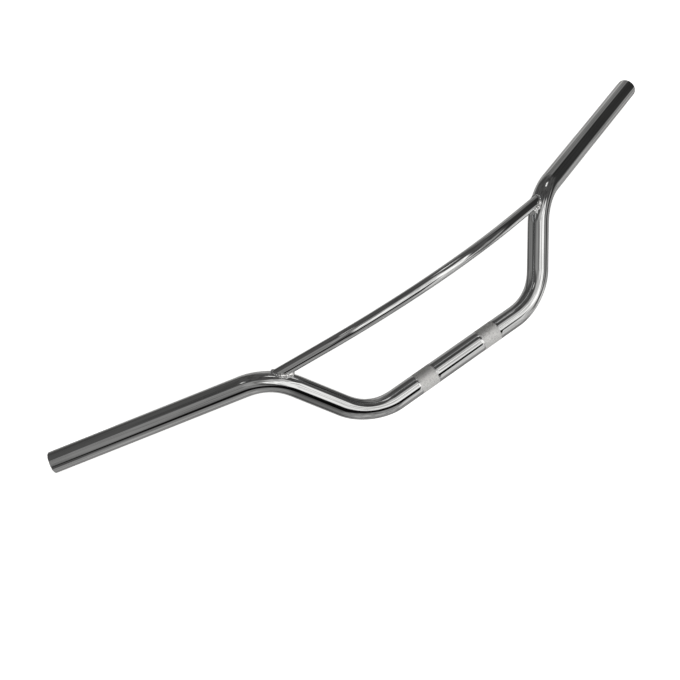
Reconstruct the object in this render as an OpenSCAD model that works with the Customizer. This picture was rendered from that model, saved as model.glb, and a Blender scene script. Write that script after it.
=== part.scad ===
// Braced handlebar for an off-road motorcycle.
// One steel tube is bent up into two risers and out into two grips. A thinner
// crossbar, bowed forward in the middle, is coped and welded between the risers.
// The tube is drawn as its bent middle and its two straight grip ends, which meet
// face to face where the upper bends stop.
// The origin is the middle of the clamp section. +X runs along that section,
// +Z is up the risers and +Y points back towards the rider.

/* [Main tube] */
// Outside diameter of the main tube
tube_d = 22.2; // [20:0.1:24]
// Wall thickness of the main tube
tube_wall = 2; // [1.5:0.1:3]
// From the middle to the corner where the clamp section turns up
clamp_half = 110; // [105:0.5:120]
// From the middle to the corner where a riser turns out into its grip
riser_half = 174; // [168:0.5:182]
// Height of that upper corner above the clamp section
riser_height = 90; // [80:0.5:100]
// From the middle to the open end of a grip
end_half = 387.5; // [360:0.5:410]
// How far the open ends are pulled back towards the rider
pullback = 82; // [60:0.5:100]
// Height of the open ends above the clamp section
rise = 131; // [115:0.5:145]
// Centreline radius of the lower bends
lower_bend_r = 63.5; // [56:0.5:70]
// Centreline radius of the upper bends
upper_bend_r = 66.5; // [60:0.5:72]
// How much the wall draws in, on its radius, where a tube is bent
bend_draw = 0.02; // [0.01:0.01:0.1]
// Chamfer on the rim of the open ends
rim_chamfer = 0.6; // [0.2:0.1:1]

/* [Knurled clamp bands] */
// Distance between the middles of the two bands
band_spacing = 82; // [70:0.5:90]
// Length of a band
band_length = 23; // [18:0.5:34]
// How far the rolled knurl stands proud of the tube
band_rise = 0.1; // [0.05:0.05:0.2]

/* [Crossbar] */
// Outside diameter of the crossbar
bar_d = 12.1; // [10:0.1:14]
// Wall thickness of the crossbar
bar_wall = 1.5; // [1:0.1:2]
// Angle between each straight end of the crossbar and the clamp section
bar_angle = 22.5; // [16:0.5:26]
// Centreline radius of the bow in the middle
bar_bend_r = 308; // [260:1:340]
// How far the plane of the bow dips forward
bar_dip = 4.5; // [0:0.5:8]
// Turn of the upper bend at which the crossbar is welded on
joint_turn = 28.5; // [24:0.5:32]

/* [Weld beads] */
// Number of ripples in a bead
ripples = 24; // [16:1:30]
// Thickness of the bead where the tubes part widest
bead_thin = 1.3; // [1.2:0.1:2.6]
// Thickness of the bead in the tight corner between the tubes
bead_thick = 3.9; // [2.8:0.1:4.5]

/* [Hidden] */
$fn = 180;

tube_r = tube_d / 2;
bar_r = bar_d / 2;
bend_lap = 0.1;
search_steps = 24;

// Unit vector of v
function unit(v) = v / norm(v);

// Angle in degrees between two unit vectors
function turn(a, b) = acos(a * b);

// Part of v square to the unit vector t, at unit length
function square_to(v, t) = unit(v - (v * t) * t);

// Corners of the right half of the centreline before it is rounded
lower_corner = [clamp_half, 0, 0];
upper_corner = [riser_half, 0, riser_height];
tube_end = [end_half, pullback, rise];

// Directions of the clamp section, the riser and the grip
clamp_dir = [1, 0, 0];
riser_dir = unit(upper_corner - lower_corner);
grip_dir = unit(tube_end - upper_corner);

// Turn of each bend, and how far from its corner each bend starts
lower_turn = turn(clamp_dir, riser_dir);
upper_turn = turn(riser_dir, grip_dir);
lower_trim = lower_bend_r * tan(lower_turn / 2);
upper_trim = upper_bend_r * tan(upper_turn / 2);

// Lengths of the three straights on the right half
clamp_straight = clamp_half - lower_trim;
riser_straight = norm(upper_corner - lower_corner) - lower_trim - upper_trim;
grip_straight = norm(tube_end - upper_corner) - upper_trim;

// Where each bend and straight starts
lower_start = [clamp_straight, 0, 0];
riser_start = lower_corner + lower_trim * riser_dir;
upper_start = upper_corner - upper_trim * riser_dir;
grip_start = upper_corner + upper_trim * grip_dir;

// Upper bend: the side that faces its centre, and the centre
upper_normal = square_to(grip_dir, riser_dir);
upper_axis = cross(riser_dir, upper_normal);
upper_centre = upper_start + upper_bend_r * upper_normal;

// Point where the crossbar's centreline meets that of the upper bend
joint = upper_centre
  + upper_bend_r * (sin(joint_turn) * riser_dir - cos(joint_turn) * upper_normal);

// Forward direction of the bow, and the way the crossbar leaves the right joint
bow_dir = [0, -cos(bar_dip), -sin(bar_dip)];
bar_dir = -cos(bar_angle) * clamp_dir + sin(bar_angle) * bow_dir;
bar_side = square_to([0, 0, 1], bar_dir);
bar_front = cross(bar_dir, bar_side);

// The bow spans bow_half to each side, and the straight ends fill the rest
bow_half = bar_bend_r * sin(bar_angle);
bar_straight = (joint[0] - bow_half) / cos(bar_angle);
bow_start = joint + bar_straight * bar_dir;
bow_normal = square_to(-bow_dir, bar_dir);

// Matrix that lays the local X, Y and Z axes along x, y and z, from the point p
function lay(x, y, z, p) = [
  [x[0], y[0], z[0], p[0]],
  [x[1], y[1], z[1], p[1]],
  [x[2], y[2], z[2], p[2]],
  [0, 0, 0, 1]
];

// Distance of a point from the curved centreline of the upper bend
function off_bend(p) =
  let (v = p - upper_centre, height = v * upper_axis)
  norm([norm(v - height * upper_axis) - upper_bend_r, height]);

// Distance along the crossbar at which its surface line leaves the main tube,
// found by halving the stretch between near and far
function leaves_tube(p, near, far, steps) =
  let (middle = (near + far) / 2)
  steps == 0 ? middle
  : off_bend(p + middle * bar_dir) < tube_r - bend_draw
    ? leaves_tube(p, middle, far, steps - 1)
    : leaves_tube(p, near, middle, steps - 1);

// Surface line of the crossbar at the angle a round it, at the joint
function bar_line(a) = joint + bar_r * (cos(a) * bar_side + sin(a) * bar_front);

// Distance along the crossbar of its saddle-shaped edge at the angle a
function saddle_reach(a) = leaves_tube(bar_line(a), tube_r / 2, 4 * tube_r, search_steps);

reaches = [for (i = [0 : ripples - 1]) saddle_reach(i * 360 / ripples)];
shortest = min(reaches);
longest = max(reaches);

// Ring that a tube sweeps; a wall of 0 or less gives a solid disc
module tube_profile(r, wall) {
  difference() {
    circle(r = r);
    if (wall > 0) circle(r = r - wall);
  }
}

// Straight length of tube from p along the unit vector t, lapping over the bends
module straight(p, t, side, length, r, wall) {
  multmatrix(lay(side, cross(t, side), t, p - bend_lap * t))
    linear_extrude(length + 2 * bend_lap) tube_profile(r, wall);
}

// Bent length of tube that starts at p along t and turns towards the unit vector n
module bend(p, t, n, angle, bend_r, r, wall) {
  multmatrix(lay(-n, t, cross(t, n), p + bend_r * n))
    rotate_extrude(angle = angle) translate([bend_r, 0])
      tube_profile(r - bend_draw, wall - 2 * bend_draw);
}

// Right riser with the bends below and above it
module riser() {
  bend(lower_start, clamp_dir, [0, 0, 1], lower_turn, lower_bend_r, tube_r, tube_wall);
  straight(riser_start, riser_dir, upper_axis, riser_straight, tube_r, tube_wall);
  bend(upper_start, riser_dir, upper_normal, upper_turn, upper_bend_r, tube_r, tube_wall);
}

// Band of rolled knurling round the clamp section, with its middle at x
module knurled_band(x) {
  translate([x - band_length / 2, 0, 0])
    rotate([0, 90, 0])
      linear_extrude(band_length)
        tube_profile(tube_r + band_rise, band_rise + tube_wall / 2);
}

// Clamp section with its two knurled bands
module clamp_section() {
  straight(-lower_start, clamp_dir, [0, 0, 1], 2 * clamp_straight, tube_r, tube_wall);
  for (side = [-1, 1]) knurled_band(side * band_spacing / 2);
}

// The bent middle of the tube
module main_tube() {
  color("silver") {
    clamp_section();
    riser();
    mirror([1, 0, 0]) riser();
  }
}

// Straight right end of the tube, with a chamfered rim at its open end
module grip_end() {
  inner = tube_r - tube_wall;
  multmatrix(lay(upper_axis, cross(grip_dir, upper_axis), grip_dir, grip_start))
    rotate_extrude() polygon([
      [inner, 0],
      [tube_r, 0],
      [tube_r, grip_straight - rim_chamfer],
      [tube_r - rim_chamfer, grip_straight],
      [inner, grip_straight]
    ]);
}

module grip_end_right() {
  color("silver") grip_end();
}

module grip_end_left() {
  color("silver") mirror([1, 0, 0]) grip_end();
}

// Right upper bend as a solid rod, which shapes what is welded on to it
module joint_rod() {
  bend(upper_start, riser_dir, upper_normal, upper_turn, upper_bend_r, tube_r, 0);
}

// Crossbar with both ends coped to seat on the main tube
module crossbar() {
  color("silver")
    difference() {
      union() {
        for (side = [0, 1])
          mirror([side, 0, 0])
            straight(joint, bar_dir, bar_side, bar_straight, bar_r, bar_wall);
        bend(bow_start, bar_dir, bow_normal, 2 * bar_angle, bar_bend_r, bar_r, bar_wall);
      }
      joint_rod();
      mirror([1, 0, 0]) joint_rod();
    }
}

// Bead round the right joint: overlapping ripples along the saddle-shaped edge,
// thickest where the crossbar runs furthest along the main tube
module weld_bead() {
  difference() {
    union()
      for (i = [0 : ripples - 1]) {
        along = (reaches[i] - shortest) / (longest - shortest);
        translate(bar_line(i * 360 / ripples) + reaches[i] * bar_dir)
          sphere(r = bead_thin + (bead_thick - bead_thin) * along, $fn = 32);
      }
    joint_rod();
    straight(joint, bar_dir, bar_side, bar_straight, bar_r, 0);
  }
}

module weld_right() {
  color("gainsboro") weld_bead();
}

module weld_left() {
  color("gainsboro") mirror([1, 0, 0]) weld_bead();
}

main_tube();
grip_end_left();
grip_end_right();
crossbar();
weld_left();
weld_right();
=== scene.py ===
"""Braced motorcycle handlebar in chrome: the looks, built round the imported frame.

Every size is in metres in the frame's own axes: the origin is the middle of the clamp
section, +X runs along it, +Z is up the risers and +Y points back towards the rider.
"""

import logging
import math
from dataclasses import dataclass
from enum import Enum

import bpy
import numpy as np
from mathutils import Matrix, Vector


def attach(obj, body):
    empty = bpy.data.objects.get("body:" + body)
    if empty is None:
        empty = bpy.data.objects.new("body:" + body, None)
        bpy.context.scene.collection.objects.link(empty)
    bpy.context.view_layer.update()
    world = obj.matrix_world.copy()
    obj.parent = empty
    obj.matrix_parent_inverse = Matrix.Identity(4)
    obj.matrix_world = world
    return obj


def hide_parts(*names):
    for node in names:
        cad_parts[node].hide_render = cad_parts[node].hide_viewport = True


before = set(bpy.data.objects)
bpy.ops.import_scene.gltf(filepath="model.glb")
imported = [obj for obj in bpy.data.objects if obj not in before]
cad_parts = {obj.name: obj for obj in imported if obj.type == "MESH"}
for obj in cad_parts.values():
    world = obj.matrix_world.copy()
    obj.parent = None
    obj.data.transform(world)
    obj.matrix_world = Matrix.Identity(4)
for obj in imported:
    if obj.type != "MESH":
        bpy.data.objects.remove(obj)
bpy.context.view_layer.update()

BODY = "root"
MM = 0.001
TURN = 2 * math.pi
X_AXIS = np.array([1.0, 0.0, 0.0])
LOG = logging.getLogger("handlebar")

Socket = bpy.types.NodeSocket
Colour = tuple[float, float, float]


def unit(v: np.ndarray) -> np.ndarray:
    """Return v, or each row of v, at unit length."""
    return v / np.linalg.norm(v, axis=-1, keepdims=True)


def square_to(v: np.ndarray, t: np.ndarray) -> np.ndarray:
    """Return the part of v square to the unit vector t, at unit length."""
    return unit(v - (v @ t) * t)


def smooth_step(x: np.ndarray) -> np.ndarray:
    """Return 0 below 0, 1 above 1 and the cubic 3x^2 - 2x^3 in between."""
    x = np.clip(x, 0.0, 1.0)
    return x * x * (3.0 - 2.0 * x)


class Slot(Enum):
    """The record's material slots."""

    TUBE = "tube"
    CROSSBAR = "crossbar"
    WELD = "weld"


class Side(Enum):
    """The two sides of the bar, each with the sign of its x."""

    LEFT = -1
    RIGHT = 1

    def named(self, thing: str) -> str:
        """Return the name of this side's thing."""
        return f"{thing}_{self.name.lower()}"


@dataclass(frozen=True)
class Leg:
    """One leg of a centreline: straight where radius is 0, otherwise an arc.

    Attributes:
        start: first point of the leg.
        along: unit direction in which it starts.
        towards: unit vector square to along; an arc curves towards it.
        length: length along the leg.
        radius: radius of an arc, or 0.
    """

    start: np.ndarray
    along: np.ndarray
    towards: np.ndarray
    length: float
    radius: float = 0.0

    def at(self, s: np.ndarray) -> tuple[np.ndarray, np.ndarray, np.ndarray]:
        """Follow the leg.

        An arc's point is start + R (sin a * along + (1 - cos a) * towards) with a = s / R.

        Args:
            s: distances from the start.

        Returns:
            Points, directions and inward normals, one row for each distance.
        """
        s = s[:, None]
        if self.radius == 0.0:
            ones = np.ones_like(s)
            return self.start + s * self.along, ones * self.along, ones * self.towards
        a = s / self.radius
        swing = np.sin(a) * self.along + (1.0 - np.cos(a)) * self.towards
        heading = np.cos(a) * self.along + np.sin(a) * self.towards
        inward = np.cos(a) * self.towards - np.sin(a) * self.along
        return self.start + self.radius * swing, heading, inward

    def mirrored(self) -> "Leg":
        """Mirror the leg to the other side and run it the other way.

        Returns:
            The mirrored leg, which ends where the mirror image of this one starts.
        """
        flip = np.array([-1.0, 1.0, 1.0])
        end, heading, inward = (row[0] for row in self.at(np.array([self.length])))
        return Leg(end * flip, -heading * flip, inward * flip, self.length, self.radius)


@dataclass(frozen=True)
class Stations:
    """Rings along a centreline, as arrays with one row for each ring.

    Attributes:
        points: centres of the rings.
        along: unit directions of travel.
        first: unit vectors square to along, which turn as little as they can.
        inward: unit vectors towards the centre of the bend.
        bent: 0 on straights, rising to 1 within each bend.
        distance: distance from the start of the centreline.
    """

    points: np.ndarray
    along: np.ndarray
    first: np.ndarray
    inward: np.ndarray
    bent: np.ndarray
    distance: np.ndarray


class Centreline:
    """A chain of straight and curved legs, each starting where the last one ends."""

    def __init__(self, legs: list[Leg], ramp: float = 0.45) -> None:
        """Keep the legs.

        Args:
            legs: legs in order of travel.
            ramp: share of a bend over which bent goes from 0 to 1, and again back to 0.
        """
        self.legs = legs
        self.ramp = ramp

    def length(self) -> float:
        """Return the whole length."""
        return sum(leg.length for leg in self.legs)

    def stations(self, straight_step: float, bend_step: float) -> Stations:
        """Lay rings along the centreline.

        The first vector is carried from ring to ring by the turn that each bend makes
        about its own axis, so a surface swept with it has no twist.

        Args:
            straight_step: distance between rings on straights.
            bend_step: distance between rings in bends.

        Returns:
            The rings, both ends included.
        """
        rows, carried, before = [], None, 0.0
        for i, leg in enumerate(self.legs):
            step = bend_step if leg.radius else straight_step
            count = max(2, math.ceil(leg.length / step))
            last = i == len(self.legs) - 1
            s = np.linspace(0.0, leg.length, count + 1)[: None if last else -1]
            points, along, inward = leg.at(s)
            if carried is None:
                carried = leg.towards
            axis = np.cross(leg.along, leg.towards)
            up, side = carried @ axis, carried @ leg.towards
            ahead = carried @ leg.along
            first = up * axis + side * inward + ahead * along
            share = s / leg.length if leg.radius else np.zeros_like(s)
            bent = smooth_step(np.minimum(share, 1.0 - share) / self.ramp)
            rows.append((points, along, first, inward, bent, before + s))
            _, heading, turned = leg.at(np.array([leg.length]))
            carried = up * axis + side * turned[0] + ahead * heading[0]
            before += leg.length
        return Stations(*(np.concatenate(column) for column in zip(*rows)))


@dataclass(frozen=True)
class MainLine:
    """The bent tube's centreline, from the same driving sizes as the solids.

    Attributes:
        clamp_half: from the middle to the corner where the clamp section turns up.
        riser_half: from the middle to the corner where a riser turns out into its grip.
        riser_height: height of that corner above the clamp section.
        end_half: from the middle to the open end of a grip.
        pullback: how far the open ends are pulled back towards the rider.
        rise: height of the open ends above the clamp section.
        lower_radius: centreline radius of the lower bends.
        upper_radius: centreline radius of the upper bends.
        outer: radius of the tube, just inside the flat facets of the solids.
        inner: radius of the bore.
    """

    clamp_half: float = 110.0 * MM
    riser_half: float = 174.0 * MM
    riser_height: float = 90.0 * MM
    end_half: float = 387.5 * MM
    pullback: float = 82.0 * MM
    rise: float = 131.0 * MM
    lower_radius: float = 63.5 * MM
    upper_radius: float = 66.5 * MM
    outer: float = 11.085 * MM
    inner: float = 9.1 * MM

    def right_legs(self) -> list[Leg]:
        """Round the corners of the right half of the centreline.

        A bend of radius R that turns by t starts R tan(t / 2) before its corner.

        Returns:
            Half of the clamp section, lower bend, riser, upper bend and grip.
        """
        middle = np.zeros(3)
        lower = np.array([self.clamp_half, 0.0, 0.0])
        upper = np.array([self.riser_half, 0.0, self.riser_height])
        end = np.array([self.end_half, self.pullback, self.rise])
        clamp, riser, grip = unit(lower), unit(upper - lower), unit(end - upper)
        lower_turn, upper_turn = math.acos(clamp @ riser), math.acos(riser @ grip)
        lower_trim = self.lower_radius * math.tan(lower_turn / 2)
        upper_trim = self.upper_radius * math.tan(upper_turn / 2)
        up, over = square_to(riser, clamp), square_to(grip, riser)
        riser_length = np.linalg.norm(upper - lower) - lower_trim - upper_trim
        grip_length = np.linalg.norm(end - upper) - upper_trim
        lower_arc = self.lower_radius * lower_turn
        upper_arc = self.upper_radius * upper_turn
        return [
            Leg(middle, clamp, up, self.clamp_half - lower_trim),
            Leg(lower - lower_trim * clamp, clamp, up, lower_arc, self.lower_radius),
            Leg(lower + lower_trim * riser, riser, square_to(up, riser), riser_length),
            Leg(upper - upper_trim * riser, riser, over, upper_arc, self.upper_radius),
            Leg(upper + upper_trim * grip, grip, square_to(over, grip), grip_length),
        ]

    def centreline(self) -> Centreline:
        """Return the whole centreline, from the left open end to the right one."""
        right = self.right_legs()
        return Centreline([leg.mirrored() for leg in reversed(right)] + right)

    def upper_bend(self) -> Leg:
        """Return the right upper bend, on which the crossbar is welded."""
        return self.right_legs()[3]


@dataclass(frozen=True)
class BarLine:
    """The crossbar's centreline and the saddle-shaped line where it meets the main tube.

    Attributes:
        main: the main tube's centreline.
        outer: radius of the bar, just inside the flat facets of the solids.
        inner: radius of its bore.
        angle: angle between a straight end of the bar and the clamp section.
        bow_radius: centreline radius of the bow in the middle.
        dip: how far the plane of the bow dips forward.
        joint_turn: turn of the upper bend at which the bar is welded on.
        halvings: times that the search for the saddle-shaped line halves its interval.
    """

    main: MainLine
    outer: float = 6.0 * MM
    inner: float = 4.55 * MM
    angle: float = math.radians(22.5)
    bow_radius: float = 308.0 * MM
    dip: float = math.radians(4.5)
    joint_turn: float = math.radians(28.5)
    halvings: int = 40

    def joint(self) -> np.ndarray:
        """Return the point where the right end meets the upper bend's centreline."""
        bend = self.main.upper_bend()
        return bend.at(np.array([self.joint_turn * bend.radius]))[0][0]

    def forward(self) -> np.ndarray:
        """Return the unit direction towards which the bar bows."""
        return np.array([0.0, -math.cos(self.dip), -math.sin(self.dip)])

    def leaving(self) -> np.ndarray:
        """Return the unit direction in which the bar leaves the right joint."""
        return -math.cos(self.angle) * X_AXIS + math.sin(self.angle) * self.forward()

    def straight_length(self) -> float:
        """Return the length of a straight end, from the joint to the bow."""
        bow_half = self.bow_radius * math.sin(self.angle)
        return (self.joint()[0] - bow_half) / math.cos(self.angle)

    def centreline(self) -> Centreline:
        """Lay the crossbar's centreline.

        Returns:
            The line from the right joint through the bow to the left joint.
        """
        leaving = self.leaving()
        inward = square_to(-self.forward(), leaving)
        right = Leg(self.joint(), leaving, inward, self.straight_length())
        bow_start = right.at(np.array([right.length]))[0][0]
        bow_length = 2 * self.angle * self.bow_radius
        bow = Leg(bow_start, leaving, inward, bow_length, self.bow_radius)
        return Centreline([right, bow, right.mirrored()])

    def reach(self, angles: np.ndarray, radius: float, skin: float) -> np.ndarray:
        """Find how far along the bar each of its surface lines leaves the main tube.

        The distance from the upper bend's circular centreline is set equal to the tube's
        radius less skin, by halving the interval that holds the crossing.

        Args:
            angles: angles of the surface lines, from the bar's first vector.
            radius: radius of the surface on which the lines lie.
            skin: depth under the main tube's surface at which the lines stop.

        Returns:
            Distances from the joint, one for each angle.
        """
        bend, leaving = self.main.upper_bend(), self.leaving()
        towards = self.centreline().legs[0].towards
        across = np.cross(leaving, towards)
        centre = bend.start + bend.radius * bend.towards
        axis = np.cross(bend.along, bend.towards)
        rim = np.cos(angles)[:, None] * towards + np.sin(angles)[:, None] * across
        lines = self.joint() + radius * rim - centre
        near = np.full(len(angles), self.main.outer / 2)
        far = np.full(len(angles), 4 * self.main.outer)
        for _ in range(self.halvings):
            middle = (near + far) / 2
            p = lines + middle[:, None] * leaving
            height = p @ axis
            ring = np.linalg.norm(p - height[:, None] * axis, axis=1) - bend.radius
            inside = np.hypot(ring, height) < self.main.outer - skin
            near, far = np.where(inside, middle, near), np.where(inside, far, middle)
        return (near + far) / 2


class Shell:
    """A closed surface on a grid of points that joins up in both directions."""

    def __init__(self, name: str, points: np.ndarray) -> None:
        """Keep the grid.

        Args:
            name: name of the piece.
            points: array of rows, columns and coordinates.
        """
        self.name = name
        self.points = points

    def quads(self) -> np.ndarray:
        """Join each point to the next in its row and column.

        The quads are turned over if the volume they enclose, the sum over triangles of
        a . (b x c) / 6, comes out below 0.

        Returns:
            Array of quads with four point numbers each.
        """
        rows, columns, _ = self.points.shape
        i, j = np.meshgrid(np.arange(rows), np.arange(columns), indexing="ij")
        ahead, beside = (i + 1) % rows, (j + 1) % columns
        corners = ((i, j), (ahead, j), (ahead, beside), (i, beside))
        faces = np.stack([a * columns + b for a, b in corners], axis=-1).reshape(-1, 4)
        a, b, c, d = (self.points.reshape(-1, 3)[faces[:, k]] for k in range(4))
        volume = np.sum(a * np.cross(b, c)) + np.sum(a * np.cross(c, d))
        return faces if volume > 0 else faces[:, ::-1]

    def make(
        self, finishes: list["Finish"], row_finish: np.ndarray, sharp: float = 30.0
    ) -> bpy.types.Object:
        """Build the Blender object and dress it.

        Args:
            finishes: finishes of the piece, one for each material slot.
            row_finish: number of the finish that each row of quads takes.
            sharp: angle in degrees past which an edge is shaded as a sharp one.

        Returns:
            The object, at the origin, with its place in its mesh.
        """
        faces = self.quads()
        mesh = bpy.data.meshes.new(self.name)
        mesh.vertices.add(self.points.size // 3)
        mesh.vertices.foreach_set("co", self.points.astype(np.float32).ravel())
        mesh.loops.add(faces.size)
        mesh.loops.foreach_set("vertex_index", faces.astype(np.int32).ravel())
        mesh.polygons.add(len(faces))
        mesh.polygons.foreach_set("loop_start", np.arange(0, faces.size, 4, dtype=np.int32))
        for finish in finishes:
            mesh.materials.append(finish.material())
        numbers = np.repeat(row_finish, self.points.shape[1]).astype(np.int32)
        mesh.polygons.foreach_set("material_index", numbers)
        mesh.update(calc_edges=True)
        mesh.shade_smooth()
        mesh.set_sharp_from_angle(angle=math.radians(sharp))
        piece = bpy.data.objects.new(self.name, mesh)
        bpy.context.collection.objects.link(piece)
        return piece


def swept(rings: Stations, columns: int, radius: float | np.ndarray) -> np.ndarray:
    """Sweep a circle along the rings of a centreline.

    Each point is centre + r (cos a * first + sin a * second), where second is the cross
    product of along and first, and a goes once round.

    Args:
        rings: places of the rings.
        columns: points round each ring.
        radius: radius of the circle, or an array with one for each ring.

    Returns:
        Array of rings, columns and coordinates.
    """
    a = np.arange(columns)[None, :, None] / columns * TURN
    first, second = rings.first[:, None], np.cross(rings.along, rings.first)[:, None]
    return rings.points[:, None] + radius * (np.cos(a) * first + np.sin(a) * second)


class Nodes:
    """Short calls for building a node tree."""

    def __init__(self, tree: bpy.types.NodeTree) -> None:
        """Empty the tree and keep it."""
        self.tree = tree
        tree.nodes.clear()

    def add(self, kind: str, **settings: object) -> bpy.types.Node:
        """Add a node of this kind.

        Args:
            kind: Blender's name for the node.
            settings: its properties.

        Returns:
            The node.
        """
        node = self.tree.nodes.new(kind)
        for key, value in settings.items():
            setattr(node, key, value)
        return node

    def feed(self, socket: Socket, value: Socket | float | tuple[float, ...]) -> None:
        """Link value to the socket if it is a socket, and otherwise set it there.

        Args:
            socket: the input to feed.
            value: another node's output, or the input's own value.
        """
        if isinstance(value, Socket):
            self.tree.links.new(value, socket)
        else:
            socket.default_value = value

    def maths(self, operation: str, *values: Socket | float) -> Socket:
        """Add a Math node.

        Args:
            operation: what it does.
            values: what it does that to, in the order of its inputs.

        Returns:
            Its result.
        """
        node = self.add("ShaderNodeMath", operation=operation)
        for socket, value in zip(node.inputs, values):
            self.feed(socket, value)
        return node.outputs[0]

    def ramp(self, value: Socket, low: float, high: float, start: float, end: float) -> Socket:
        """Go from one value to another by the smooth step 3x^2 - 2x^3.

        Args:
            value: what drives the ramp.
            low: value at which it starts.
            high: value at which it ends.
            start: result up to low.
            end: result from high on.

        Returns:
            The result.
        """
        node = self.add("ShaderNodeMapRange", interpolation_type="SMOOTHSTEP")
        for socket, number in zip(node.inputs, (value, low, high, start, end)):
            self.feed(socket, number)
        return node.outputs[0]

    def noise(self, place: Socket, scale: float, detail: float) -> Socket:
        """Add noise.

        Args:
            place: coordinates or direction that it is made from.
            scale: bumps in one unit of place.
            detail: octaves of finer noise.

        Returns:
            The noise, between 0 and 1.
        """
        node = self.add("ShaderNodeTexNoise")
        self.feed(node.inputs["Vector"], place)
        self.feed(node.inputs["Scale"], scale)
        self.feed(node.inputs["Detail"], detail)
        return node.outputs["Fac"]


@dataclass(frozen=True)
class Finish:
    """A plated or bare metal surface.

    Attributes:
        name: name of the material.
        pale: colour of its clean areas.
        dull: colour of its hazy areas.
        haze_scale: hazy patches per metre.
        smooth: roughness of the clean areas.
        rough: roughness of the hazy areas.
        grain_scale: grains per metre.
        grain_height: height of the grains.
        metallic: how metallic it is.
        haze_from: value of the noise up to which the surface is clean.
        haze_to: value of the noise from which it is fully hazy.
    """

    name: str
    pale: Colour
    dull: Colour
    haze_scale: float
    smooth: float
    rough: float
    grain_scale: float
    grain_height: float
    metallic: float = 1.0
    haze_from: float = 0.42
    haze_to: float = 0.68

    def material(self) -> bpy.types.Material:
        """Make the material, or take the one that is there from an earlier piece.

        Noise on Object coordinates mixes the clean and hazy areas, and finer noise is
        the height of the grains.

        Returns:
            The material.
        """
        made = bpy.data.materials.get(self.name)
        if made is not None:
            return made
        made = bpy.data.materials.new(self.name)
        made.use_nodes = True
        nodes = Nodes(made.node_tree)
        place = nodes.add("ShaderNodeTexCoord").outputs["Object"]
        shader = nodes.add("ShaderNodeBsdfPrincipled")
        nodes.feed(shader.inputs["Metallic"], self.metallic)
        patches = nodes.noise(place, self.haze_scale, 4.0)
        haze = nodes.ramp(patches, self.haze_from, self.haze_to, 0.0, 1.0)
        colour = nodes.add("ShaderNodeMix", data_type="RGBA")
        nodes.feed(colour.inputs["Factor"], haze)
        nodes.feed(colour.inputs["A"], (*self.pale, 1.0))
        nodes.feed(colour.inputs["B"], (*self.dull, 1.0))
        nodes.feed(shader.inputs["Base Color"], colour.outputs["Result"])
        roughness = nodes.ramp(haze, 0.0, 1.0, self.smooth, self.rough)
        nodes.feed(shader.inputs["Roughness"], roughness)
        bump = nodes.add("ShaderNodeBump")
        nodes.feed(bump.inputs["Strength"], 1.0)
        nodes.feed(bump.inputs["Distance"], self.grain_height)
        nodes.feed(bump.inputs["Height"], nodes.noise(place, self.grain_scale, 2.0))
        nodes.feed(shader.inputs["Normal"], bump.outputs[0])
        output = nodes.add("ShaderNodeOutputMaterial")
        nodes.feed(output.inputs["Surface"], shader.outputs[0])
        return made


CHROME = Finish(
    name="bright_chrome",
    pale=(0.80, 0.81, 0.82),
    dull=(0.74, 0.75, 0.76),
    haze_scale=22.0,
    smooth=0.02,
    rough=0.06,
    grain_scale=60.0,
    grain_height=0.02 * MM,
)
KNURL = Finish(
    name="knurled_chrome",
    pale=(0.98, 0.98, 0.97),
    dull=(0.72, 0.72, 0.71),
    haze_scale=900.0,
    smooth=0.34,
    rough=0.46,
    grain_scale=2600.0,
    grain_height=0.02 * MM,
    metallic=0.75,
)
# Painted glint: a whiter, less metallic copy of the chrome, which the lamps light brighter, for the
# thick side of each weld bead.
WELD = Finish(
    name="chromed_weld_painted_glint",
    pale=(1.0, 1.0, 1.0),
    dull=(0.85, 0.85, 0.85),
    haze_scale=420.0,
    smooth=0.03,
    rough=0.12,
    grain_scale=900.0,
    grain_height=0.05 * MM,
    metallic=0.76,
)
BORE = Finish(
    name="bare_bore",
    pale=(0.26, 0.25, 0.24),
    dull=(0.13, 0.11, 0.10),
    haze_scale=90.0,
    smooth=0.42,
    rough=0.68,
    grain_scale=700.0,
    grain_height=0.05 * MM,
    metallic=0.9,
)


@dataclass(frozen=True)
class Bands:
    """Where the two knurled bands lie on the clamp section.

    Attributes:
        spacing: distance between the middles of the two bands.
        length: length of a band.
    """

    spacing: float = 82.0 * MM
    length: float = 23.0 * MM

    def covers(self, x: np.ndarray, margin: float) -> np.ndarray:
        """Return whether each x lies under a band and further than margin from its ends."""
        return np.abs(np.abs(x) - self.spacing / 2) < self.length / 2 - margin


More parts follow.
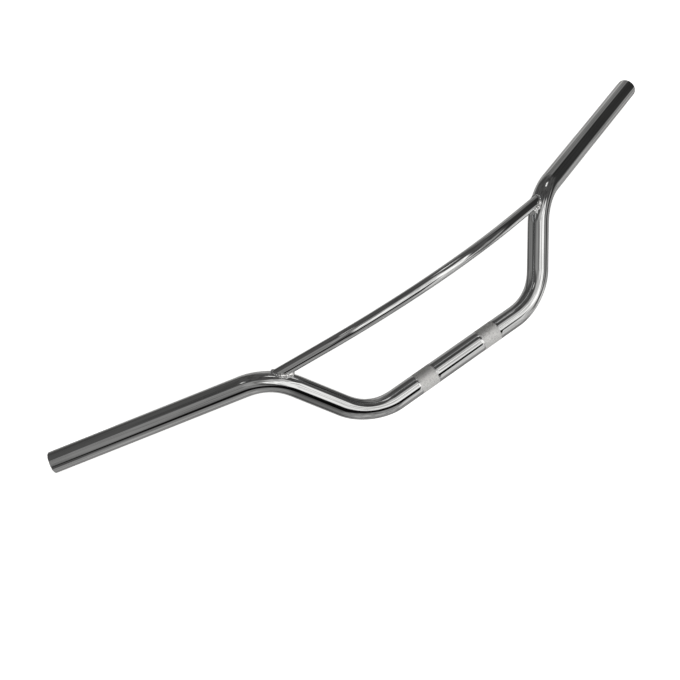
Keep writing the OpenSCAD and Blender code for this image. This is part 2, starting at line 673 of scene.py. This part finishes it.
@dataclass
class BentTube:
    """The bent tube: its plated outside, a chamfer on each open end, and the bore.

    Attributes:
        line: driving sizes of the tube.
        bands: places of the knurled bands, which lie over a shallow groove.
        straight_step: distance between rings on the straights.
        bend_step: distance between rings in the bends.
        columns: points round each ring.
        chamfer: width of the chamfer on the open ends.
        narrowing: share of its width that a bent ring loses in the plane of its bend.
        widening: share that it gains across that plane.
        groove: depth of the groove under each knurled band.
        bore_share: the bore has one ring for this many on the outside.
    """

    line: MainLine
    bands: Bands
    straight_step: float = 2.5 * MM
    bend_step: float = 1.5 * MM
    columns: int = 128
    chamfer: float = 0.6 * MM
    narrowing: float = 0.065
    widening: float = 0.03
    groove: float = 0.45 * MM
    bore_share: int = 4

    def pressed(self, points: np.ndarray, rings: Stations) -> np.ndarray:
        """Press the tube oval in its bends.

        Each offset from a ring's centre shrinks by narrowing towards the inside of the
        bend and grows by widening across it, both times the ring's bent value.

        Args:
            points: swept points, a row for each ring.
            rings: places of the rings.

        Returns:
            The pressed points.
        """
        offset = points - rings.points[:, None]
        towards = rings.inward[:, None]
        across = np.cross(rings.along, rings.inward)[:, None]
        inward = np.sum(offset * towards, axis=2, keepdims=True) * towards
        sideways = np.sum(offset * across, axis=2, keepdims=True) * across
        bent = rings.bent[:, None, None]
        return points + bent * (self.widening * sideways - self.narrowing * inward)

    def build(self) -> bpy.types.Object:
        """Sweep the outside from the left end to the right and the bore back again.

        The rows go along the outside, over the right rim, back through the bore and over
        the left rim, so that the surface closes.

        Returns:
            The piece.
        """
        rings = self.line.centreline().stations(self.straight_step, self.bend_step)
        under = self.bands.covers(rings.points[:, 0], self.straight_step)
        radii = self.line.outer - self.groove * under
        outside = self.pressed(swept(rings, self.columns, radii[:, None, None]), rings)
        bore = self.pressed(swept(rings, self.columns, self.line.inner), rings)
        kept = np.append(np.arange(0, len(bore) - 1, self.bore_share), len(bore) - 1)
        bore = bore[kept]
        rim = swept(rings, self.columns, self.line.outer - self.chamfer)
        outside[0] += self.chamfer * rings.along[0]
        outside[-1] -= self.chamfer * rings.along[-1]
        points = np.concatenate([outside, rim[-1:], bore[::-1], rim[:1]])
        row_finish = np.zeros(len(points), int)
        row_finish[len(outside) + 1 : -2] = 1
        return Shell("bent_tube", points).make([CHROME, BORE], row_finish)


@dataclass
class KnurledBand:
    """A band of diamond knurling rolled round the clamp section.

    Attributes:
        side: which band it is.
        line: driving sizes of the tube.
        bands: places of the bands.
        teeth: diamonds round the tube.
        proud: height of the teeth above the tube.
        depth: height of the teeth from valley to tip.
        per_tooth: points across a diamond.
        edge: distance over which the teeth run out at either end.
        sunk: depth under the tube's surface at which the band closes.
        run_out: depth under the tube's surface at either end, as a share of proud.
    """

    side: Side
    line: MainLine
    bands: Bands
    teeth: int = 58
    proud: float = 0.09 * MM
    depth: float = 0.30 * MM
    per_tooth: int = 7
    edge: float = 0.5 * MM
    sunk: float = 0.35 * MM
    run_out: float = 0.2

    def build(self) -> bpy.types.Object:
        """Roll the diamonds on to a short cylinder.

        With p = u + v and q = u - v, where u and v count teeth along and round the tube,
        the height is the lower of the two triangle waves of p and q. It sinks just under
        the tube's surface at either end, where the last rows turn in.

        Returns:
            The piece.
        """
        half = self.bands.length / 2
        pitch = TURN * self.line.outer / self.teeth
        columns = self.teeth * self.per_tooth
        rows = round(2 * half / pitch * self.per_tooth)
        x = np.linspace(-half, half, rows)[:, None]
        v = np.arange(columns)[None] / self.per_tooth
        u = x / pitch
        waves = [1.0 - np.abs(2.0 * np.mod(t, 1.0) - 1.0) for t in (u + v, u - v)]
        tooth = np.minimum(*waves)
        fade = smooth_step((half - np.abs(x)) / self.edge)
        height = self.proud - self.depth * (1.0 - tooth)
        lowest = -self.run_out * self.proud
        radius = self.line.outer + fade * height + (1.0 - fade) * lowest
        inner = np.full((2, columns), self.line.outer - self.sunk)
        radius = np.concatenate([radius, inner])
        x = np.concatenate([x, x[-1:], x[:1]]) + self.side.value * self.bands.spacing / 2
        x = np.broadcast_to(x, radius.shape)
        a = v * TURN / self.teeth
        points = np.stack([x, radius * np.cos(a), radius * np.sin(a)], axis=2)
        name = self.side.named("knurled_band")
        return Shell(name, points).make([KNURL], np.zeros(len(points), int), sharp=70.0)


@dataclass
class Crossbar:
    """The thinner tube between the risers, coped at both ends.

    Attributes:
        bar: driving sizes of the crossbar.
        step: distance between rings.
        columns: points round each ring.
        coped: length over which the cope dies out along the bar.
        skin: depth under the main tube's surface at which the ends stop.
    """

    bar: BarLine
    step: float = 4.0 * MM
    columns: int = 96
    coped: float = 50.0 * MM
    skin: float = 0.4 * MM

    def wall(self, radius: float, rings: Stations, length: float) -> np.ndarray:
        """Sweep one wall of the bar and slide its ends on to the main tube.

        A point at the distance s from an end slides along the bar by reach (1 - s / coped),
        where reach is its surface line's own distance to the main tube.

        Args:
            radius: radius of the wall.
            rings: places of the rings.
            length: length of the whole centreline.

        Returns:
            Array of rings, columns and coordinates.
        """
        angles = np.arange(self.columns) / self.columns * TURN
        reach = self.bar.reach(angles, radius, self.skin)[None]
        near = np.clip(1.0 - rings.distance / self.coped, 0.0, 1.0)[:, None]
        far = np.clip(1.0 - (length - rings.distance) / self.coped, 0.0, 1.0)[:, None]
        slide = (near - far) * reach
        return swept(rings, self.columns, radius) + slide[..., None] * rings.along[:, None]

    def build(self) -> bpy.types.Object:
        """Sweep the outer wall and the bore and join them at both coped ends.

        Returns:
            The piece.
        """
        line = self.bar.centreline()
        rings = line.stations(self.step, self.step)
        outside = self.wall(self.bar.outer, rings, line.length())
        inside = self.wall(self.bar.inner, rings, line.length())
        points = np.concatenate([outside, inside[::-1]])
        row_finish = (np.arange(len(points)) >= len(outside)).astype(int)
        return Shell("crossbar_tube", points).make([CHROME, BORE], row_finish)


@dataclass
class WeldBead:
    """The rippled bead round one end of the crossbar.

    Attributes:
        side: which joint it lies round.
        bar: driving sizes of the crossbar.
        ripples: ripples in one turn.
        thin: radius of the bead where the tubes part widest.
        thick: radius in the tight corner between the tubes.
        rows: rows of points along the bead.
        columns: points round the bead.
        lean: how far, in ripples, the middle of a ripple runs ahead of its toes.
        lumps: unevenness of the thick side, as a share of its radius.
        waves: sine waves that make it uneven: turns round the joint, start and share.
        painted_glint_from: share of the way from thin to thick from which the bead takes the whiter,
            less metallic weld finish, a painted glint that makes the tight corner look brighter.
    """

    side: Side
    bar: BarLine
    ripples: int = 24
    thin: float = 1.1 * MM
    thick: float = 3.9 * MM
    rows: int = 384
    columns: int = 56
    lean: float = 0.45
    lumps: float = 0.13
    waves: tuple[tuple[int, float, float], ...] = ((11, 1.0, 1.0), (13, 2.0, 0.7), (5, 0.0, 0.5))
    painted_glint_from: float = 0.3

    def build(self) -> bpy.types.Object:
        """Carry a circle round the saddle-shaped edge of the joint.

        The circle's radius r goes from thin to thick with the reach. Its ripples are the
        outline of a row of overlapping balls, sqrt(r^2 - x^2), where x is the distance
        along the bead from the nearest ball's centre, and they lean ahead in the middle.
        Three sine waves round the joint make it uneven, the more so the thicker it is.

        Returns:
            The piece.
        """
        bar = self.bar
        turn = np.arange(self.rows) / self.rows * TURN
        towards = bar.centreline().legs[0].towards
        across = np.cross(bar.leaving(), towards)
        radial = np.cos(turn)[:, None] * towards + np.sin(turn)[:, None] * across
        reach = bar.reach(turn, bar.outer, 0.0)
        edge = bar.joint() + bar.outer * radial + reach[:, None] * bar.leaving()
        ahead = np.roll(edge, -1, axis=0) - np.roll(edge, 1, axis=0)
        pitch = np.linalg.norm(ahead, axis=1).sum() / 2 / self.ripples
        ahead = unit(ahead)
        out = unit(radial - np.sum(radial * ahead, axis=1)[:, None] * ahead)
        up = np.cross(ahead, out)
        up = up * np.sign(np.sum(up * bar.leaving(), axis=1))[:, None]
        share = ((reach - reach.min()) / np.ptp(reach))[:, None]
        a = np.arange(self.columns)[None] / self.columns * TURN
        crown = np.clip(np.cos(a - math.pi / 4), 0.0, 1.0)
        count = self.ripples * turn[:, None] / TURN - self.lean * crown
        x = (np.mod(count, 1.0) - 0.5) * pitch
        uneven = sum(part * np.sin(n * turn + start) for n, start, part in self.waves)
        radius = self.thin + (self.thick - self.thin) * share
        radius = np.sqrt(radius**2 - x**2) * (1.0 + self.lumps * share * uneven[:, None])
        circle = np.cos(a)[..., None] * out[:, None] + np.sin(a)[..., None] * up[:, None]
        points = edge[:, None] + radius[..., None] * circle
        points[..., 0] *= self.side.value
        # The thick side of the bead takes the whiter weld finish, a painted glint.
        row_finish = (share[:, 0] > self.painted_glint_from).astype(int)
        shell = Shell(self.side.named("weld_bead"), points)
        return shell.make([CHROME, WELD], row_finish, sharp=80.0)


@dataclass(frozen=True)
class Card:
    """A soft-edged patch of the surroundings that the chrome mirrors.

    Attributes:
        name: what it stands for.
        azimuth: direction of its middle, from +X towards +Y, in degrees.
        elevation: height of its middle above the horizon, in degrees.
        half_width: half of its width in degrees of azimuth.
        half_height: half of its height in degrees of elevation.
        edge: width of its soft edge in degrees.
        strength: brightness that it adds, or share that it takes away as a flag.
    """

    name: str
    azimuth: float
    elevation: float
    half_width: float
    half_height: float
    edge: float
    strength: float

    def light(self, nodes: Nodes, azimuth: Socket, elevation: Socket) -> Socket:
        """Give the card's strength inside it and 0 outside, with its soft edge between.

        Args:
            nodes: tree to build in.
            azimuth: azimuth in radians.
            elevation: elevation in radians.

        Returns:
            The strength in that direction.
        """
        turn = nodes.maths("SUBTRACT", azimuth, math.radians(self.azimuth))
        turn = nodes.maths("ABSOLUTE", nodes.maths("WRAP", turn, math.pi, -math.pi))
        rise = nodes.maths("SUBTRACT", elevation, math.radians(self.elevation))
        rise = nodes.maths("ABSOLUTE", rise)
        sides = []
        for distance, half in ((turn, self.half_width), (rise, self.half_height)):
            near, far = math.radians(half - self.edge / 2), math.radians(half + self.edge / 2)
            sides.append(nodes.ramp(distance, near, far, 1.0, 0.0))
        return nodes.maths("MULTIPLY", nodes.maths("MULTIPLY", *sides), self.strength)


# Each row is a name, azimuth, elevation, half width, half height, edge and strength.
CARDS = (
    Card("window", -77.0, -8.0, 29.0, 18.0, 4.0, 0.95),
    Card("bright pane", -56.0, -16.0, 9.0, 14.0, 4.0, 0.35),
    Card("upper pane", -76.0, 18.0, 15.0, 11.0, 5.0, 0.48),
    Card("low panel", -47.0, -41.0, 13.0, 15.0, 5.0, 0.72),
    Card("table sheen", -22.0, -62.0, 30.0, 10.0, 10.0, 0.40),
    Card("floor light", 24.0, -42.0, 18.0, 7.0, 5.0, 0.42),
    Card("floor strip", -31.0, -22.0, 7.0, 16.0, 4.0, 0.24),
    Card("floor below", 0.0, -82.0, 180.0, 9.0, 6.0, 0.12),
    Card("shelf", 22.0, -32.0, 30.0, 14.0, 6.0, 0.33),
    Card("skirting", 84.0, -22.0, 32.0, 24.0, 6.0, 0.32),
    Card("white wall", 68.0, 20.0, 30.0, 26.0, 8.0, 0.28),
    Card("picture", 48.0, 8.0, 14.0, 10.0, 5.0, 0.22),
    Card("upper wall", 30.0, 46.0, 40.0, 12.0, 8.0, 0.12),
    Card("back wall", 150.0, 44.0, 32.0, 16.0, 8.0, 0.13),
    Card("rear window", 130.0, 4.0, 24.0, 15.0, 5.0, 0.90),
    Card("left wall", -104.0, 14.0, 13.0, 18.0, 6.0, 0.24),
    Card("door", -125.0, 2.0, 9.0, 34.0, 8.0, 0.18),
    Card("floor behind", 178.0, -69.0, 48.0, 6.0, 5.0, 0.14),
    Card("ceiling lamp", -41.0, 51.0, 5.0, 6.0, 4.0, 1.40),
    Card("spot lamp", -107.0, 48.0, 4.0, 4.0, 3.0, 0.90),
)
FLAGS = (
    Card("under the table", -100.0, -38.0, 40.0, 11.0, 4.0, 0.95),
    Card("camera", -14.0, 8.0, 10.0, 34.0, 6.0, 0.60),
)


@dataclass
class Surroundings:
    """What the chrome mirrors: a dark room over a grey ground, with cards and flags.

    Attributes:
        cards: patches of light, added up.
        flags: dark patches, which take light away.
        room: brightness above the horizon.
        ground: brightness below it.
        skyline: elevation at which one goes over into the other, in degrees.
        skyline_edge: width of that change in degrees.
        clutter_scale: how fine the clutter of the room is.
        clutter: share of the light that the clutter takes away at most.
        clutter_from: value of the noise up to which it takes away that much.
        clutter_to: value of the noise from which it takes away nothing.
        tint: colour of all that light.
    """

    cards: tuple[Card, ...] = CARDS
    flags: tuple[Card, ...] = FLAGS
    room: float = 0.09
    ground: float = 0.32
    skyline: float = -50.0
    skyline_edge: float = 16.0
    clutter_scale: float = 8.0
    clutter: float = 0.48
    clutter_from: float = 0.41
    clutter_to: float = 0.49
    tint: Colour = (1.0, 0.985, 0.96)

    def build(self) -> None:
        """Write the surroundings into the world as a function of direction.

        The azimuth is arctan2(y, x) and the elevation arcsin(z) of the unit direction.
        The clutter is noise on the direction, put through a steep ramp.
        """
        world = bpy.data.worlds.new("surroundings")
        bpy.context.scene.world = world
        world.use_nodes = True
        nodes = Nodes(world.node_tree)
        direction = nodes.add("ShaderNodeTexCoord").outputs["Generated"]
        parts = nodes.add("ShaderNodeSeparateXYZ")
        nodes.feed(parts.inputs[0], direction)
        azimuth = nodes.maths("ARCTAN2", parts.outputs[1], parts.outputs[0])
        elevation = nodes.maths("ARCSINE", parts.outputs[2])
        low = math.radians(self.skyline - self.skyline_edge / 2)
        high = math.radians(self.skyline + self.skyline_edge / 2)
        light = nodes.ramp(elevation, low, high, self.ground, self.room)
        for card in self.cards:
            light = nodes.maths("ADD", light, card.light(nodes, azimuth, elevation))
        for flag in self.flags:
            kept = nodes.maths("SUBTRACT", 1.0, flag.light(nodes, azimuth, elevation))
            light = nodes.maths("MULTIPLY", light, kept)
        noise = nodes.noise(direction, self.clutter_scale, 3.0)
        kept = nodes.ramp(noise, self.clutter_from, self.clutter_to, 1.0 - self.clutter, 1.0)
        light = nodes.maths("MULTIPLY", light, kept)
        background = nodes.add("ShaderNodeBackground")
        nodes.feed(background.inputs["Color"], (*self.tint, 1.0))
        nodes.feed(background.inputs["Strength"], light)
        output = nodes.add("ShaderNodeOutputWorld")
        nodes.feed(output.inputs["Surface"], background.outputs[0])


@dataclass
class Stage:
    """A plain white floor and backdrop, which the chrome doesn't mirror.

    Attributes:
        drop: distance of the floor below the clamp section's centreline.
        radius: radius of the floor and the backdrop, and height of the ceiling.
        corners: corners round the floor.
        glow: light that the backdrop gives of its own.
        floor_glow: light that the floor gives of its own.
        white: colour of the paper.
    """

    drop: float = 0.35
    radius: float = 9.0
    corners: int = 96
    glow: float = 1.0
    floor_glow: float = 0.95
    white: Colour = (0.9, 0.9, 0.9)

    def paper(self, name: str, glow: float) -> bpy.types.Material:
        """Make pale paper.

        Args:
            name: name of the material.
            glow: light that it gives of its own.

        Returns:
            The material.
        """
        made = bpy.data.materials.new(name)
        made.use_nodes = True
        nodes = Nodes(made.node_tree)
        shader = nodes.add("ShaderNodeBsdfPrincipled")
        nodes.feed(shader.inputs["Base Color"], (*self.white, 1.0))
        nodes.feed(shader.inputs["Roughness"], 1.0)
        nodes.feed(shader.inputs["Emission Color"], (1.0, 1.0, 1.0, 1.0))
        nodes.feed(shader.inputs["Emission Strength"], glow)
        output = nodes.add("ShaderNodeOutputMaterial")
        nodes.feed(output.inputs["Surface"], shader.outputs[0])
        return made

    def sheet(
        self, name: str, corners: np.ndarray, faces: list[list[int]], glow: float
    ) -> bpy.types.Object:
        """Lay flat sheets of paper.

        Args:
            name: name of the piece.
            corners: array of corners and coordinates.
            faces: corner numbers of each sheet.
            glow: light that the paper gives of its own.

        Returns:
            The piece.
        """
        mesh = bpy.data.meshes.new(name)
        mesh.from_pydata(corners.tolist(), [], faces)
        mesh.materials.append(self.paper(name + "_paper", glow))
        piece = bpy.data.objects.new(name, mesh)
        bpy.context.collection.objects.link(piece)
        return piece

    def ring(self, height: float) -> np.ndarray:
        """Lay corners round a circle.

        Args:
            height: height of the circle above the clamp section's centreline.

        Returns:
            Array of corners and coordinates.
        """
        a = np.arange(self.corners) / self.corners * TURN
        x, y = self.radius * np.cos(a), self.radius * np.sin(a)
        return np.stack([x, y, np.full(self.corners, height)], axis=1)

    def floor(self) -> bpy.types.Object:
        """Return a flat disc under the bar."""
        return self.sheet("floor", self.ring(-self.drop), [list(range(self.corners))], self.floor_glow)

    def backdrop(self) -> bpy.types.Object:
        """Put a ring of wall round the floor, with a flat ceiling on top.

        Returns:
            The piece.
        """
        corners = np.concatenate([self.ring(-self.drop), self.ring(self.radius)])
        i = np.arange(self.corners)
        beside = (i + 1) % self.corners
        walls = np.stack([i, i + self.corners, beside + self.corners, beside], axis=1)
        ceiling = (i + self.corners)[::-1]
        return self.sheet("backdrop", corners, [*walls.tolist(), ceiling.tolist()], self.glow)

    def build(self) -> None:
        """Place both and keep them out of every reflection and shadow."""
        for piece in (self.backdrop(), self.floor()):
            piece.visible_glossy = False
            piece.visible_diffuse = False
            piece.visible_shadow = False
            LOG.info("stage: %s", piece.name)


@dataclass(frozen=True)
class Lamp:
    """A rectangular softbox that faces the middle of the bar and lights its satin parts.

    The mirror-bright parts show the surroundings alone, so it is left out of reflections.

    Attributes:
        name: name of the lamp.
        azimuth: direction of the lamp from the bar, in degrees from +X towards +Y.
        elevation: its height above the horizon, in degrees.
        distance: its distance from the bar.
        width: width of the softbox.
        height: height of the softbox.
        radiance: brightness of its face.
    """

    name: str
    azimuth: float
    elevation: float
    distance: float
    width: float
    height: float
    radiance: float

    def build(self) -> None:
        """Hang the lamp. Its power is radiance times its area times pi."""
        light = bpy.data.lights.new(self.name, "AREA")
        light.shape = "RECTANGLE"
        light.size, light.size_y = self.width, self.height
        light.energy = self.radiance * self.width * self.height * math.pi
        lamp = bpy.data.objects.new(self.name, light)
        bpy.context.collection.objects.link(lamp)
        a, e = math.radians(self.azimuth), math.radians(self.elevation)
        away = Vector((math.cos(e) * math.cos(a), math.cos(e) * math.sin(a), math.sin(e)))
        lamp.location = self.distance * away
        lamp.visible_glossy = False
        lamp.rotation_euler = away.to_track_quat("Z", "Y").to_euler()


LAMPS = (
    Lamp("key_softbox", -66.0, -34.0, 2.4, 0.9, 0.6, 30.0),
    Lamp("rear_softbox", 76.0, 30.0, 2.4, 0.9, 0.7, 4.0),
)


@dataclass(frozen=True)
class PhotoCamera:
    """The camera at the photograph's viewpoint.

    Attributes:
        place: its position.
        bearing: compass angle of its view, from +Y towards +X, in degrees.
        pitch: angle of its view above the horizon, in degrees.
        roll: how far its top leans to the right, in degrees.
        focal: focal length in millimetres.
        sensor: width of the sensor in millimetres.
        nearest: distance from which it sees.
    """

    place: tuple[float, float, float] = (-0.43786, -1.14838, 0.19424)
    bearing: float = 16.6286
    pitch: float = -5.3869
    roll: float = 32.27
    focal: float = 64.26
    sensor: float = 36.0
    nearest: float = 0.05

    def build(self) -> None:
        """Point the camera and make it the scene's own.

        It looks along (cos p sin b, cos p cos b, sin p) at the bearing b and pitch p.
        """
        b, p, r = (math.radians(x) for x in (self.bearing, self.pitch, self.roll))
        look = Vector((math.cos(p) * math.sin(b), math.cos(p) * math.cos(b), math.sin(p)))
        level = look.cross(Vector((0.0, 0.0, 1.0))).normalized()
        up = math.cos(r) * level.cross(look) + math.sin(r) * level
        right = look.cross(up)
        data = bpy.data.cameras.new("photo_camera")
        data.lens, data.sensor_width = self.focal, self.sensor
        data.clip_start = self.nearest
        camera = bpy.data.objects.new("photo_camera", data)
        bpy.context.collection.objects.link(camera)
        turn = Matrix((right, up, -look)).transposed()
        camera.matrix_world = Matrix.Translation(self.place) @ turn.to_4x4()
        bpy.context.scene.camera = camera


def put_on(piece: bpy.types.Object, slot: Slot, *nodes: str) -> None:
    """Let a piece ride on the bar's one body and stand for the named solids.

    Args:
        piece: the finished piece.
        slot: the record's material slot named for the piece; not used.
        nodes: solids that it stands for.
    """
    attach(piece, BODY)
    if nodes:
        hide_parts(*nodes)
    stands_for = ", ".join(nodes) or "no solid"
    LOG.info("%s: %d faces, stands for %s", piece.name, len(piece.data.polygons), stands_for)


def write_sizes() -> None:
    """Bring the scene's placements up to date."""
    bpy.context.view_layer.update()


def main() -> None:
    """Build the bar piece by piece, then the studio and the camera."""
    logging.basicConfig(level=logging.INFO, format="%(name)s: %(message)s")
    bpy.context.scene.view_settings.view_transform = "Standard"
    PhotoCamera().build()
    line = MainLine()
    bar = BarLine(line)
    bands = Bands()
    tube = BentTube(line, bands).build()
    put_on(tube, Slot.TUBE, "main_tube", "grip_end_left", "grip_end_right")
    put_on(Crossbar(bar).build(), Slot.CROSSBAR, "crossbar")
    for side in Side:
        put_on(KnurledBand(side, line, bands).build(), Slot.TUBE)
        put_on(WeldBead(side, bar).build(), Slot.WELD, side.named("weld"))
    Surroundings().build()
    Stage().build()
    for lamp in LAMPS:
        lamp.build()
    write_sizes()


if __name__ == "__main__":
    main()
